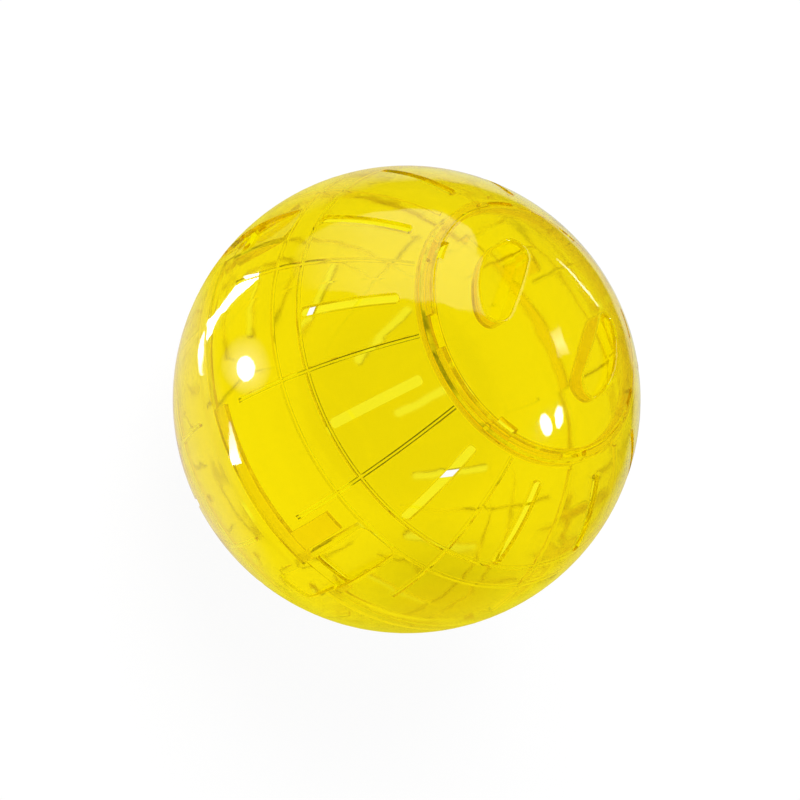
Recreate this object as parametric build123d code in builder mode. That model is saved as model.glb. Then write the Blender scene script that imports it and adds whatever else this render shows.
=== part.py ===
"""Clear exercise ball for a small pet: two half shells that push together and a lid that twists in.

Millimetres and degrees. The origin is the ball's centre and +Z runs out through the middle of the lid.
Azimuths count round +Z from +X, polar angles count down from +Z and elevations count up from the seam.
"""
import os
from math import acos, asin, cos, degrees, radians, sin, sqrt

from build123d import *

# Ball
ball_diameter = 180.0
wall = 1.8
seam_gap = 0.2
clearance = 0.3
overrun = 6.0

# Grip ribs inside the shells
rib_count = 12
rib_width = 1.8
rib_top_width = 0.7
rib_height = 1.1
rib_start_angle = 36.0
rib_end_angle = 81.5
ring_height = 0.9
ring_angles = (62.0, 68.8)
pole_ring_angle = 28.0

# Air slots, half way between the ribs
slot_width = 3.6
slot_corner = 1.3
slot_start_angle = 39.0
slot_end_angle = 61.0

# Lid mouth and its bayonet channel
mouth_diameter = 94.0
lid_gap = 0.35
collar_wall = 1.2
ledge_thickness = 1.2
ledge_reach = 3.1
entry_width = 12.2
entry_azimuth = 30.0
stop_width = 1.6

# Lid
lid_turn = -9.2
skirt_wall = 1.4
lug_count = 4
lug_width = 8.4
lug_thickness = 1.6
lug_reach = 1.8
lug_inset = 1.7

# Finger grips in the lid
grip_count = 2
grip_inner_offset = 17.8
grip_outer_offset = 31.8
grip_half_length = 23.8
grip_corner = 5.0
grip_depth = 10.0
grip_wall = 1.0
grip_edge_round = 1.0

# Lip and tongues of the rear half, which stand inside the front half
lip_thickness = 1.6
lip_height = 5.2
lip_root_height = 6.0
lip_start_azimuth = 29.0
lip_arc = 53.0
tongue_gap = 0.5
tongue_thickness = 1.6
tongue_height = 23.5
tongue_width = 8.2
tongue_azimuth = 65.1

# Finger recesses beside the seam
latch_count = 4
latch_azimuth = 75.0
recess_wall = 1.6
pocket_width = 15.6
pocket_depth = 3.6
pocket_height = 33.6
pocket_arch = 2.6
pocket_lip_gap = 0.5
facet_width = 13.8
facet_depth = 2.0
facet_arch = 1.2

# Shell sizes that follow
ball_radius = ball_diameter / 2
inner_radius = ball_radius - wall
bite_radius = ball_radius - wall / 2
half_gap = seam_gap / 2
up = Vector(0, 0, 1)


def height_at(radius, reach):
    """Height of a sphere's surface at a distance from the Z axis, or the distance at a height."""
    return sqrt(radius**2 - reach**2)


def arc_of(width, radius):
    """Angle that a width takes up at a radius."""
    return degrees(width / radius)


def outward(azimuth):
    """Unit vector straight out from the Z axis."""
    return Vector(cos(radians(azimuth)), sin(radians(azimuth)), 0)


def meridian_planes(first, count):
    """Planes through the Z axis, spaced evenly: local x runs outward and local y up."""
    directions = [outward(first + 360 / count * step) for step in range(count)]
    return [Plane(origin=(0, 0, 0), x_dir=out, z_dir=out.cross(up)) for out in directions]


def slot_planes(polar_angle):
    """Planes that touch the ball half way between the ribs: local x runs along a meridian."""
    planes = []
    for step in range(rib_count):
        out = outward(360 / rib_count * (step + 1 / 2))
        normal = out * sin(radians(polar_angle)) + up * cos(radians(polar_angle))
        planes.append(Plane(origin=normal * ball_radius, x_dir=up.cross(out).cross(normal), z_dir=normal))
    return planes


def floor_planes(start, end):
    """Floors of the recesses between two (reach, height) points: local y runs from start to end."""
    planes = []
    for step in range(latch_count):
        out = outward(latch_azimuth + 360 / latch_count * step)
        along = (out * (end[0] - start[0]) + up * (end[1] - start[1])).normalized()
        side = along.cross(out).normalized()
        planes.append(Plane(origin=out * start[0] + up * start[1], x_dir=side, z_dir=side.cross(along)))
    return planes


def recess_outline(width, length, arch, margin, lead):
    """Recess seen square to its floor, with an arched far end: grown by a margin and begun early by a lead."""
    side = width / 2 + margin
    far = length + margin
    with BuildLine() as outline:
        Polyline((-side, far - arch), (-side, -lead), (side, -lead), (side, far - arch))
        ThreePointArc((side, far - arch), (0, far), (-side, far - arch))
    make_face(outline.edges())


def wall_sector(inside, outside, low, high):
    """Slice between two spheres and two elevations, in a meridian plane."""
    with BuildLine() as outline:
        inner = CenterArc((0, 0), inside, low, high - low)
        outer = CenterArc((0, 0), outside, low, high - low)
        Line(inner @ 0, outer @ 0)
        Line(inner @ 1, outer @ 1)
    make_face(outline.edges())


def rib_section(height, turn):
    """Section of a rib on the inside wall, narrower at its top: local x runs outward until it is turned."""
    base = rib_width / 2
    top = rib_top_width / 2
    crest = inner_radius - height
    corners = [(inner_radius, -base), (crest, -top), (crest, top), (inner_radius, base)]
    Polygon((bite_radius, base), (bite_radius, -base), *corners, rotation=turn, align=None)


def box_section(inner_reach, outer_reach, low, high):
    """Rectangle between two reaches and two heights, in a meridian plane."""
    with Locations(((inner_reach + outer_reach) / 2, (low + high) / 2)):
        Rectangle(outer_reach - inner_reach, high - low)


def grip_planes(height):
    """Level planes turned with the lid, one for each finger grip."""
    turns = [lid_turn + 360 / grip_count * step for step in range(grip_count)]
    return [Plane(origin=(0, 0, height), x_dir=outward(turn), z_dir=up) for turn in turns]


def grip_outline(margin):
    """D outline of a finger grip, straight towards the middle of the lid and grown by a margin."""
    with BuildLine() as outline:
        bow = ThreePointArc(
            (grip_inner_offset, -grip_half_length),
            (grip_outer_offset, 0),
            (grip_inner_offset, grip_half_length),
        )
        Line(bow @ 1, bow @ 0)
    make_face(outline.edges())
    fillet(vertices(), grip_corner)
    if margin:
        offset(amount=margin)


# Bayonet levels and angles
mouth_radius = mouth_diameter / 2
lid_radius = mouth_radius - lid_gap
lug_outer_radius = lid_radius + lug_reach
channel_radius = lug_outer_radius + clearance
collar_radius = channel_radius + collar_wall
ledge_radius = channel_radius - ledge_reach
lug_top = height_at(inner_radius, channel_radius) - clearance
lug_bottom = lug_top - lug_thickness
ledge_top = lug_bottom - clearance
ledge_bottom = ledge_top - ledge_thickness
lug_arc = arc_of(lug_width, lug_outer_radius)
entry_arc = arc_of(entry_width, channel_radius)
stop_arc = arc_of(stop_width, channel_radius)
locked_stop_azimuth = lid_turn - lug_arc / 2 - arc_of(clearance, channel_radius) - stop_arc
open_stop_azimuth = entry_azimuth + entry_arc / 2

# Profiles are drawn a quarter of the rib pitch round, clear of every rib and slot
profile_plane = meridian_planes(360 / rib_count / 4, 1)[0]

# Slot and rib angles
slot_middle_angle = (slot_start_angle + slot_end_angle) / 2
slot_length = 2 * ball_radius * sin(radians(slot_end_angle - slot_start_angle) / 2)
rib_low = 90 - rib_end_angle
rib_high = 90 - rib_start_angle
ring_elevations = [90 - angle for angle in ring_angles]

# Rib along a meridian, drawn once on +X
rib_out = Vector(cos(radians(rib_low)), 0, sin(radians(rib_low)))

with BuildPart() as rib:
    with BuildSketch(Plane(origin=(0, 0, 0), x_dir=rib_out, z_dir=rib_out.cross(Vector(0, 1, 0)))):
        rib_section(rib_height, 0)
    revolve(axis=Axis((0, 0, 0), (0, -1, 0)), revolution_arc=rib_high - rib_low)

# Front finger recesses: sloped floors that run out at the ball's surface
pocket_bottom = lip_height + pocket_lip_gap
pocket_start = (height_at(ball_radius, pocket_bottom) - pocket_depth, pocket_bottom)
pocket_end = (height_at(ball_radius, pocket_height), pocket_height)
pocket_length = sqrt((pocket_end[0] - pocket_start[0]) ** 2 + (pocket_end[1] - pocket_start[1]) ** 2)
pocket_floors = floor_planes(pocket_start, pocket_end)

with BuildPart() as pocket_lining:
    with BuildSketch(*[plane.offset(-recess_wall) for plane in pocket_floors]):
        recess_outline(pocket_width, pocket_length, pocket_arch, recess_wall, 0)
    extrude(amount=recess_wall + pocket_depth + overrun)
    Sphere(bite_radius, mode=Mode.INTERSECT)

# Front half, with the lid mouth and its channel
with BuildPart() as front_shell:
    with BuildSketch(profile_plane):
        with BuildLine():
            rim_angle = degrees(asin(half_gap / ball_radius))
            mouth_angle = degrees(acos(mouth_radius / ball_radius))
            outside = CenterArc((0, 0), ball_radius, rim_angle, mouth_angle - rim_angle)
            lip_start = degrees(acos(channel_radius / inner_radius))
            lip_end = degrees(acos(mouth_radius / inner_radius))
            lip_under = CenterArc((0, 0), inner_radius, lip_start, lip_end - lip_start)
            inner_rim_angle = degrees(asin(half_gap / inner_radius))
            collar_angle = degrees(acos(collar_radius / inner_radius))
            inside = CenterArc((0, 0), inner_radius, inner_rim_angle, collar_angle - inner_rim_angle)
            Line(outside @ 1, lip_under @ 1)
            Polyline(
                lip_under @ 0,
                (channel_radius, ledge_top),
                (ledge_radius, ledge_top),
                (ledge_radius, ledge_bottom),
                (collar_radius, ledge_bottom),
                inside @ 1,
            )
            Line(inside @ 0, outside @ 0)
        make_face()
        for angle in ring_elevations:
            rib_section(ring_height, angle)
    revolve(axis=Axis.Z)
    with PolarLocations(0, rib_count):
        add(rib.part)
    for stop_azimuth in (locked_stop_azimuth, open_stop_azimuth):
        with BuildSketch(*meridian_planes(stop_azimuth, lug_count)):
            box_section(mouth_radius, channel_radius + collar_wall / 2, ledge_top - ledge_thickness / 2, lug_top)
        revolve(axis=Axis.Z, revolution_arc=stop_arc)
    add(pocket_lining.part)
    with BuildSketch(*pocket_floors):
        recess_outline(pocket_width, pocket_length, pocket_arch, 0, pocket_bottom + overrun)
    extrude(amount=pocket_depth + overrun, mode=Mode.SUBTRACT)
    with BuildSketch(*slot_planes(slot_middle_angle)):
        RectangleRounded(slot_length, slot_width, slot_corner)
    extrude(amount=wall + overrun, both=True, mode=Mode.SUBTRACT)
    with BuildSketch(*meridian_planes(entry_azimuth - entry_arc / 2, lug_count)):
        box_section(mouth_radius - overrun, channel_radius, lug_top, ball_radius)
    revolve(axis=Axis.Z, revolution_arc=entry_arc, mode=Mode.SUBTRACT)
front_shell.part.label = "front_shell"

# Rear finger recesses: upright floors under the front ones
facet_start = (ball_radius - facet_depth, -half_gap)
facet_end = (facet_start[0], -height_at(ball_radius, facet_start[0]))
facet_length = facet_start[1] - facet_end[1]
facet_floors = floor_planes(facet_start, facet_end)

with BuildPart() as facet_lining:
    with BuildSketch(*[plane.offset(-recess_wall) for plane in facet_floors]):
        recess_outline(facet_width, facet_length, facet_arch, recess_wall, -clearance)
    extrude(amount=recess_wall + facet_depth + overrun)
    Sphere(bite_radius, mode=Mode.INTERSECT)

# Rear half, with the lip and tongues that guide the front half
lip_outer_radius = inner_radius - clearance
lip_inner_radius = lip_outer_radius - lip_thickness
root_end = lip_root_height + lip_thickness + clearance
tongue_outer_radius = inner_radius - tongue_gap
tongue_inner_radius = tongue_outer_radius - tongue_thickness
tongue_arc = arc_of(tongue_width, tongue_outer_radius)
tongue_low = degrees(asin(lip_root_height / 2 / tongue_outer_radius))
tongue_high = degrees(asin(tongue_height / tongue_outer_radius))

with BuildPart() as rear_shell:
    with BuildSketch(profile_plane):
        with BuildLine():
            rim_angle = degrees(asin(half_gap / ball_radius))
            inner_rim_angle = degrees(asin(half_gap / inner_radius))
            outside = CenterArc((0, 0), ball_radius, -90, 90 - rim_angle)
            inside = CenterArc((0, 0), inner_radius, -90, 90 - inner_rim_angle)
            Line(outside @ 0, inside @ 0)
            Line(outside @ 1, inside @ 1)
        make_face()
        with BuildLine():
            Polyline(
                (lip_inner_radius, lip_height),
                (lip_outer_radius, lip_height),
                (lip_outer_radius, -half_gap),
                (bite_radius, -half_gap),
                (height_at(bite_radius, root_end), -root_end),
                (lip_inner_radius, -lip_root_height),
                close=True,
            )
        make_face()
        for angle in ring_elevations + [90 - pole_ring_angle]:
            rib_section(ring_height, -angle)
    revolve(axis=Axis.Z)
    with PolarLocations(0, rib_count):
        add(mirror(rib.part, about=Plane.XY, mode=Mode.PRIVATE))
    with BuildSketch(*meridian_planes(lip_start_azimuth + lip_arc, latch_count)):
        box_section(lip_inner_radius - overrun, lip_outer_radius + clearance / 2, -clearance, lip_height + overrun)
    revolve(axis=Axis.Z, revolution_arc=360 / latch_count - lip_arc, mode=Mode.SUBTRACT)
    with BuildSketch(*meridian_planes(tongue_azimuth - tongue_arc / 2, latch_count)):
        wall_sector(tongue_inner_radius, tongue_outer_radius, -tongue_low, tongue_high)
    revolve(axis=Axis.Z, revolution_arc=tongue_arc)
    add(facet_lining.part)
    with BuildSketch(*facet_floors):
        recess_outline(facet_width, facet_length, facet_arch, 0, half_gap)
    extrude(amount=facet_depth + overrun, mode=Mode.SUBTRACT)
    with BuildSketch(*slot_planes(180 - slot_middle_angle)):
        RectangleRounded(slot_length, slot_width, slot_corner)
    extrude(amount=wall + overrun, both=True, mode=Mode.SUBTRACT)
rear_shell.part.label = "rear_shell"

# Lining behind the lid's finger grips
grip_floor_height = ball_radius - grip_depth

with BuildPart() as grip_lining:
    with BuildSketch(*grip_planes(grip_floor_height - grip_wall)):
        grip_outline(grip_wall)
    extrude(amount=grip_wall + grip_depth)
    Sphere(bite_radius, mode=Mode.INTERSECT)

# Lid, drawn locked
with BuildPart() as lid:
    with BuildSketch(profile_plane):
        with BuildLine():
            edge_angle = degrees(acos(lid_radius / ball_radius))
            skirt_angle = degrees(acos((lid_radius - skirt_wall) / inner_radius))
            outside = CenterArc((0, 0), ball_radius, edge_angle, 90 - edge_angle)
            inside = CenterArc((0, 0), inner_radius, skirt_angle, 90 - skirt_angle)
            Line(outside @ 1, inside @ 1)
            Polyline(
                outside @ 0,
                (lid_radius, lug_bottom),
                (lid_radius - skirt_wall, lug_bottom),
                inside @ 0,
            )
        make_face()
    revolve(axis=Axis.Z)
    with BuildSketch(*meridian_planes(lid_turn - lug_arc / 2, lug_count)):
        box_section(lid_radius - lug_inset, lid_radius + overrun, lug_bottom, ball_radius)
    revolve(axis=Axis.Z, revolution_arc=lug_arc, mode=Mode.SUBTRACT)
    with BuildSketch(*meridian_planes(lid_turn - lug_arc / 2, lug_count)):
        box_section(lid_radius - lug_inset, lug_outer_radius, lug_bottom, lug_top)
    revolve(axis=Axis.Z, revolution_arc=lug_arc)
    add(grip_lining.part)
    with BuildSketch(*grip_planes(grip_floor_height)):
        grip_outline(0)
    extrude(amount=grip_depth, mode=Mode.SUBTRACT)
    grip_edges = lid.edges(Select.LAST).filter_by(lambda edge: (edge @ 0.5).length > bite_radius)
    fillet(grip_edges, grip_edge_round)
lid.part.label = "lid"

# Export
os.makedirs("parts", exist_ok=True)
export_step(rear_shell.part, "parts/rear_shell.step")
export_step(front_shell.part, "parts/front_shell.step")
export_step(lid.part, "parts/lid.step")
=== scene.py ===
"""Looks of the clear exercise ball: tinted plastic, studio light and the photograph's camera.

Metres, in the part's own frame: the origin is the ball's centre and +Z runs out through the lid.
"""

from math import cos, log, pi, sin, sqrt

import bpy
from mathutils import Matrix, Vector


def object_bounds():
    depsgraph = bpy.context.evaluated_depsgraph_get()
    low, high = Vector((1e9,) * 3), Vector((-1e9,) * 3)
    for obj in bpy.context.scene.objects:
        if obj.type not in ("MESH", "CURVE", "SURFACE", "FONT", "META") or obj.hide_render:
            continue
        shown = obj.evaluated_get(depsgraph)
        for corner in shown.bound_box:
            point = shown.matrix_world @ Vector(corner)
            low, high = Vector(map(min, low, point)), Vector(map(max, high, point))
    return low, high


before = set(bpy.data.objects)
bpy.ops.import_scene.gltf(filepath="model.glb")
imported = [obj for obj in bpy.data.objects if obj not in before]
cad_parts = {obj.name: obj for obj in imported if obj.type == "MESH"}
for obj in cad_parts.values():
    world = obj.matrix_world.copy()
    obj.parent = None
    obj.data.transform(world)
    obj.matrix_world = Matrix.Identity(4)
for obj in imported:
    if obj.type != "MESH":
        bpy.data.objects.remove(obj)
cad_low, cad_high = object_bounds()
ball_radius = (cad_high.z - cad_low.z) / 2

# Plastic: red, green and blue shares that one wall and its surfaces pass, its gloss and its ripple
wall_thickness = 0.0018
wall_passes = (1.0, 0.998, 0.3)
plastic_tint = (0.979, 0.879, 0.06)
plastic_clear_share = 1.0
plastic_ior = 1.5
plastic_roughness = (0.045, 0.075)
haze_size = 0.012
haze_detail = 3
ripple_size = 0.018
ripple_detail = 1
ripple_depth = 0.0004

# Photograph's camera: its back, right and up directions, its lens and where it puts the ball's centre
camera_distance = 7.0 * ball_radius
camera_back = Vector((0.4582, 0.5201, 0.7208))
camera_right = Vector((-0.7822, -0.1491, 0.6049))
camera_up = Vector((0.4221, -0.8410, 0.3385))
camera_lens = 72.95
sensor_width = 36.0
photo_pixels = 800
ball_centre_pixel = (406.7, 399.4)

# World: how bright reflections and other rays find it, and its dark side, which rays through the plastic find
dark_studio = 0.04
open_studio = 0.6
dark_side_cosines = (0.3, 0.8)
dark_side_glow = 0.12

# Floor: its paint, and how much of it glows for rays that see it white
floor_half_size = 40 * ball_radius
floor_grey = 0.8
floor_roughness = 0.9
floor_glow_share = 0.95

# Floor patches: painted bright patches and a painted pool of yellow light that only reflections find, and a
# painted shadow that only rays through the plastic find: middle, fade and glow
far_reflected_light_centre = (-0.25, -0.42)
far_reflected_light_reach = (0.2, 0.5)
far_reflected_light_glow = 0.65
near_reflected_light_centre = (0.085, 0.025)
near_reflected_light_reach = (0.05, 0.11)
near_reflected_light_glow = 0.6
# Painted pool of yellow light round the ball, seen only in reflections
yellow_light_pool_centre = (0, 0)
yellow_light_pool_tint = (1.0, 0.86, 0.04)
yellow_light_pool_reach = (0.15, 0.6)
yellow_light_pool_glow = 0.75
shade_centre = (-0.11, 0.06)
shade_reach = (0.03, 0.09)
shade_glow = 0.68

# Key lamp: a broad square that lays the ball's shadow on the floor
key_size = 1.0
key_energy = 30.0
key_place = (0.5, -0.5, 1.2)

# Bands of light reflected in the ball: pixel x and y of both ends of each bar across one, and its glow
light_bands = {
    "top_softbox": [
        (288, 254, 300, 290, 0.0),
        (330, 224, 330, 294, 0.4),
        (372, 211, 370, 297, 0.75),
        (437, 211, 430, 303, 1.0),
        (470, 226, 481, 316, 1.0),
    ],
    "window_streak": [
        (259, 275.5, 259, 276.5, 1.0),
        (242, 283, 246.5, 287, 1.0),
        (234.5, 287, 237, 296, 1.0),
        (226.5, 297, 228, 306, 1.0),
        (215, 314, 220, 318, 1.0),
        (209, 319.5, 213, 334, 1.0),
        (206.5, 323, 206, 345, 1.0),
    ],
    "window_sliver": [(259.5, 271.5, 258, 274, 1.0), (244.5, 276.5, 246, 279, 1.0)],
    "side_streak": [(203.5, 332, 204, 334, 1.0), (199, 351, 203.5, 352, 1.0), (201, 375, 203, 375, 0.6)],
    "seam_streak": [(228, 422, 229.5, 421.5, 0.2), (231.5, 447, 236, 444, 0.6), (232, 465, 241.5, 463, 1.0)],
    "lid_streak": [(556, 258, 557, 257.5, 0.3), (578, 280, 579, 279.5, 1.0), (599, 309, 600, 308.5, 0.5)],
    # Painted highlight: a soft smear of light on the lid
    "lid_glare": [(551, 330, 560, 327, 0.3), (556, 345, 566, 341, 1.0), (559, 356, 570, 352, 0.2)],
}

# Round lamps reflected in the ball: pixel x and y of the middle, half width, half height, glow at the edge
light_ovals = {
    "left_lamp": (246, 367, 9, 12.5, 1.0),
    "left_lamp_halo": (246, 366, 26, 30, 0.0),
    "lid_lamp_left": (544, 426, 6, 11, 1.0),
    "lid_lamp_right": (558.5, 418, 4.5, 10.5, 1.0),
}
oval_corners = 20

# Cards that make these reflections: distance from the ball's surface, and strength
card_settings = {
    "top_softbox": (0.6, 1.5),
    "window_streak": (0.06, 30),
    "window_sliver": (0.06, 20),
    "side_streak": (0.05, 12),
    "seam_streak": (0.03, 25),
    "lid_streak": (0.3, 8),
    "lid_glare": (0.3, 5),
    "left_lamp": (0.1, 30),
    "left_lamp_halo": (0.105, 4),
    "lid_lamp_left": (0.3, 30),
    "lid_lamp_right": (0.3, 30),
}

# Rays: how often one may turn inside the clear walls, and the depth that only a first reflection stays under
ray_bounces = 300
first_reflection_limit = 1.5

scene = bpy.context.scene
scene.view_settings.view_transform = "Standard"
scene.cycles.max_bounces = ray_bounces
scene.cycles.transmission_bounces = ray_bounces
scene.cycles.glossy_bounces = ray_bounces


def add_node(tree, kind, **values):
    """New node with plain values set on its named inputs."""
    node = tree.nodes.new(kind)
    for name, value in values.items():
        node.inputs[name].default_value = value
    return node


def combine(tree, operation, first, second):
    """Math node between sockets or numbers. Returns its result."""
    node = tree.nodes.new("ShaderNodeMath")
    node.operation = operation
    for socket, value in zip(node.inputs, (first, second)):
        if isinstance(value, bpy.types.NodeSocket):
            tree.links.new(value, socket)
        else:
            socket.default_value = value
    return node.outputs[0]


def smooth_step(tree, value, start_end, low_high):
    """Eases from one level to another while a value runs from start to end. Returns the level."""
    node = tree.nodes.new("ShaderNodeMapRange")
    node.interpolation_type = "SMOOTHSTEP"
    node.inputs["From Min"].default_value, node.inputs["From Max"].default_value = start_end
    node.inputs["To Min"].default_value, node.inputs["To Max"].default_value = low_high
    tree.links.new(value, node.inputs["Value"])
    return node.outputs["Result"]


def new_material(name):
    """New node material. Returns it with its node tree."""
    material = bpy.data.materials.new(name)
    material.use_nodes = True
    return material, material.node_tree


def new_object(name, points, faces):
    """New mesh object in the scene, from its points and faces."""
    mesh = bpy.data.meshes.new(name)
    mesh.from_pydata(points, [], faces)
    made = bpy.data.objects.new(name, mesh)
    scene.collection.objects.link(made)
    return made


def clear_plastic(name):
    """Clear tinted plastic: glass with an absorbing inside, a faint ripple and a gloss that varies."""
    material, tree = new_material(name)
    shader = tree.nodes["Principled BSDF"]
    shader.inputs["Base Color"].default_value = (*plastic_tint, 1)
    shader.inputs["Transmission Weight"].default_value = plastic_clear_share
    shader.inputs["IOR"].default_value = plastic_ior
    place = tree.nodes.new("ShaderNodeTexCoord")
    haze = add_node(tree, "ShaderNodeTexNoise", Scale=1 / haze_size, Detail=haze_detail)
    tree.links.new(place.outputs["Object"], haze.inputs["Vector"])
    rough = tree.nodes.new("ShaderNodeMapRange")
    rough.inputs["To Min"].default_value, rough.inputs["To Max"].default_value = plastic_roughness
    tree.links.new(haze.outputs["Fac"], rough.inputs["Value"])
    tree.links.new(rough.outputs["Result"], shader.inputs["Roughness"])
    ripple = add_node(tree, "ShaderNodeTexNoise", Scale=1 / ripple_size, Detail=ripple_detail)
    tree.links.new(place.outputs["Object"], ripple.inputs["Vector"])
    bump = add_node(tree, "ShaderNodeBump", Distance=ripple_depth)
    tree.links.new(ripple.outputs["Fac"], bump.inputs["Height"])
    tree.links.new(bump.outputs["Normal"], shader.inputs["Normal"])
    losses = [-log(share) / wall_thickness for share in wall_passes]
    density = max(losses)
    inside = add_node(tree, "ShaderNodeVolumeAbsorption", Density=density)
    inside.inputs["Color"].default_value = [1 - loss / density for loss in losses] + [1]
    tree.links.new(inside.outputs["Volume"], tree.nodes["Material Output"].inputs["Volume"])
    return material


def seen_white(tree, through):
    """Level that the camera, at 1, and rays through the plastic see. Also returns what marks glossy rays."""
    path = tree.nodes.new("ShaderNodeLightPath")
    passed = combine(tree, "MULTIPLY", path.outputs["Is Transmission Ray"], through)
    return combine(tree, "MAXIMUM", path.outputs["Is Camera Ray"], passed), path.outputs["Is Glossy Ray"]


def studio_world():
    """White past the floor, and dark to reflections. Rays through the plastic find the camera's side dark."""
    world = bpy.data.worlds.new("studio")
    scene.world = world
    world.use_nodes = True
    tree = world.node_tree
    place = tree.nodes.new("ShaderNodeTexCoord")
    facing = tree.nodes.new("ShaderNodeVectorMath")
    facing.operation = "DOT_PRODUCT"
    facing.inputs[1].default_value = camera_back
    tree.links.new(place.outputs["Generated"], facing.inputs[0])
    through = smooth_step(tree, facing.outputs["Value"], dark_side_cosines, (1.0, dark_side_glow))
    seen, glossy = seen_white(tree, through)
    darker = combine(tree, "MULTIPLY", glossy, open_studio - dark_studio)
    open_light = combine(tree, "SUBTRACT", open_studio, darker)
    background = tree.nodes["Background"]
    background.inputs["Color"].default_value = (1, 1, 1, 1)
    tree.links.new(combine(tree, "MAXIMUM", seen, open_light), background.inputs["Strength"])


def floor_patch(tree, centre, reach, strength, outside=dark_studio):
    """Round patch on the floor that fades to the level outside between two distances from its centre."""
    place = tree.nodes.new("ShaderNodeNewGeometry")
    away = tree.nodes.new("ShaderNodeVectorMath")
    away.operation = "DISTANCE"
    away.inputs[1].default_value = (*centre, cad_low.z)
    tree.links.new(place.outputs["Position"], away.inputs[0])
    return smooth_step(tree, away.outputs["Value"], reach, (strength, outside))


def pale_floor():
    """White floor under the ball that keeps a faint shadow.

    Reflections find it dark, but for two painted bright patches and a painted pool of yellow light
    round the ball. Rays that come through the plastic find one spot of painted shadow on it.
    """
    low, high = -floor_half_size, floor_half_size
    outline = [(low, low), (high, low), (high, high), (low, high)]
    floor = new_object("floor", [(x, y, cad_low.z) for x, y in outline], [(0, 1, 2, 3)])
    material, tree = new_material("floor_white")
    shader = tree.nodes["Principled BSDF"]
    shader.inputs["Base Color"].default_value = (floor_grey, floor_grey, floor_grey, 1)
    shader.inputs["Roughness"].default_value = floor_roughness
    # Painted shadow: rays through the plastic find the floor darker round the shade centre
    seen, glossy = seen_white(tree, floor_patch(tree, shade_centre, shade_reach, shade_glow, outside=1.0))
    # Painted bright patches on the floor that only reflections see
    far_reflected_light = floor_patch(tree, far_reflected_light_centre, far_reflected_light_reach, far_reflected_light_glow)
    near_reflected_light = floor_patch(tree, near_reflected_light_centre, near_reflected_light_reach, near_reflected_light_glow)
    white = combine(tree, "MAXIMUM", seen, combine(tree, "MAXIMUM", far_reflected_light, near_reflected_light))
    # Painted pool of yellow light round the ball that only reflections see
    light_pool = floor_patch(tree, yellow_light_pool_centre, yellow_light_pool_reach, yellow_light_pool_glow)
    colour = tree.nodes.new("ShaderNodeCombineColor")
    for socket, share in zip(colour.inputs, yellow_light_pool_tint):
        tree.links.new(combine(tree, "MAXIMUM", white, combine(tree, "MULTIPLY", light_pool, share)), socket)
    glow = tree.nodes.new("ShaderNodeEmission")
    tree.links.new(colour.outputs["Color"], glow.inputs["Color"])
    seen_glow = combine(tree, "MULTIPLY", seen, floor_glow_share)
    mix = tree.nodes.new("ShaderNodeMixShader")
    tree.links.new(combine(tree, "MAXIMUM", seen_glow, glossy), mix.inputs["Fac"])
    tree.links.new(shader.outputs[0], mix.inputs[1])
    tree.links.new(glow.outputs[0], mix.inputs[2])
    tree.links.new(mix.outputs[0], tree.nodes["Material Output"].inputs["Surface"])
    floor.data.materials.append(material)


def from_camera(right, up, back):
    """Direction or place given by how far it lies right, up and back as the camera sees it."""
    return camera_right * right + camera_up * up + camera_back * back


def mirrored(x, y, distance):
    """Place whose reflection in the ball falls on a pixel, at a distance from the ball's surface."""
    pixels_per_slope = camera_lens / sensor_width * photo_pixels
    across = (x - ball_centre_pixel[0]) / pixels_per_slope
    over = (ball_centre_pixel[1] - y) / pixels_per_slope
    eye = camera_back * camera_distance
    ray = from_camera(across, over, -1).normalized()
    nearest = -eye.dot(ray)
    surface = eye + ray * (nearest - sqrt(nearest**2 + ball_radius**2 - eye.length_squared))
    return surface + ray.reflect(surface.normalized()) * distance


def band(bars):
    """Points and faces of a band of light, from the bars across it."""
    points = []
    for x, y, end_x, end_y, glow in bars:
        points += [(x, y, glow), (end_x, end_y, glow)]
    starts = range(0, len(points) - 2, 2)
    return points, [(start, start + 1, start + 3, start + 2) for start in starts]


def oval(x, y, half_width, half_height, edge_glow):
    """Points and faces of an oval of light, from its middle, its half size and the glow at its edge."""
    steps = range(oval_corners)
    turns = [2 * pi * step / oval_corners for step in steps]
    rim = [(x + half_width * cos(turn), y + half_height * sin(turn), edge_glow) for turn in turns]
    return rim + [(x, y, 1.0)], [(step, (step + 1) % oval_corners, oval_corners) for step in steps]


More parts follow.
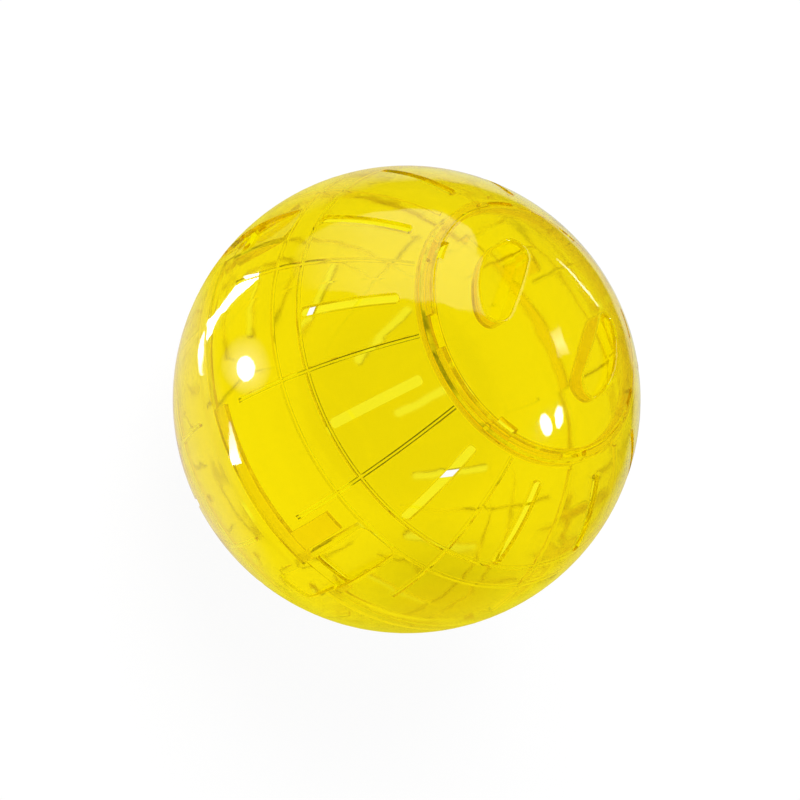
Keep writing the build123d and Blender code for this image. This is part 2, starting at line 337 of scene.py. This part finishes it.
def reflection_card(name, shape, distance, strength):
    """Glowing card that only the first reflection sees, at a distance from the ball's surface."""
    points, faces = shape
    card = new_object(name, [mirrored(x, y, distance) for x, y, _ in points], faces)
    colours = card.data.color_attributes.new("glow", "FLOAT_COLOR", "POINT")
    for colour, (_, _, glow) in zip(colours.data, points):
        colour.color = (glow, glow, glow, 1)
    material, tree = new_material(name)
    tree.nodes.remove(tree.nodes["Principled BSDF"])
    shade = tree.nodes.new("ShaderNodeAttribute")
    shade.attribute_name = "glow"
    path = tree.nodes.new("ShaderNodeLightPath")
    first = combine(tree, "LESS_THAN", path.outputs["Ray Depth"], first_reflection_limit)
    glow = tree.nodes.new("ShaderNodeEmission")
    tree.links.new(shade.outputs["Color"], glow.inputs["Color"])
    tree.links.new(combine(tree, "MULTIPLY", first, strength), glow.inputs["Strength"])
    tree.links.new(glow.outputs[0], tree.nodes["Material Output"].inputs["Surface"])
    card.data.materials.append(material)
    card.visible_camera = False
    card.visible_diffuse = False
    card.visible_transmission = False
    card.visible_shadow = False


def key_lamp():
    """Broad lamp high over the ball, which reflections and the clear plastic don't show."""
    data = bpy.data.lights.new("key", "AREA")
    data.size = key_size
    data.energy = key_energy
    lamp = bpy.data.objects.new("key", data)
    lamp.location = key_place
    lamp.rotation_mode = "QUATERNION"
    lamp.rotation_quaternion = lamp.location.to_track_quat("Z", "Y")
    lamp.visible_camera = False
    lamp.visible_glossy = False
    lamp.visible_transmission = False
    scene.collection.objects.link(lamp)


def photo_camera():
    """The photograph's camera: its turn, its lens and its framing."""
    data = bpy.data.cameras.new("camera")
    data.lens = camera_lens
    data.sensor_width = sensor_width
    data.shift_x = (photo_pixels / 2 - ball_centre_pixel[0]) / photo_pixels
    data.shift_y = (ball_centre_pixel[1] - photo_pixels / 2) / photo_pixels
    camera = bpy.data.objects.new("camera", data)
    turn = Matrix((camera_right, camera_up, camera_back)).transposed().to_4x4()
    camera.matrix_world = Matrix.Translation(camera_back * camera_distance) @ turn
    scene.collection.objects.link(camera)
    scene.camera = camera


plastic = clear_plastic("clear_yellow_plastic")
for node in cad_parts.values():
    node.data.materials.clear()
    node.data.materials.append(plastic)

studio_world()
pale_floor()
key_lamp()
for name, bars in light_bands.items():
    reflection_card(name, band(bars), *card_settings[name])
for name, middle_and_size in light_ovals.items():
    reflection_card(name, oval(*middle_and_size), *card_settings[name])
photo_camera()
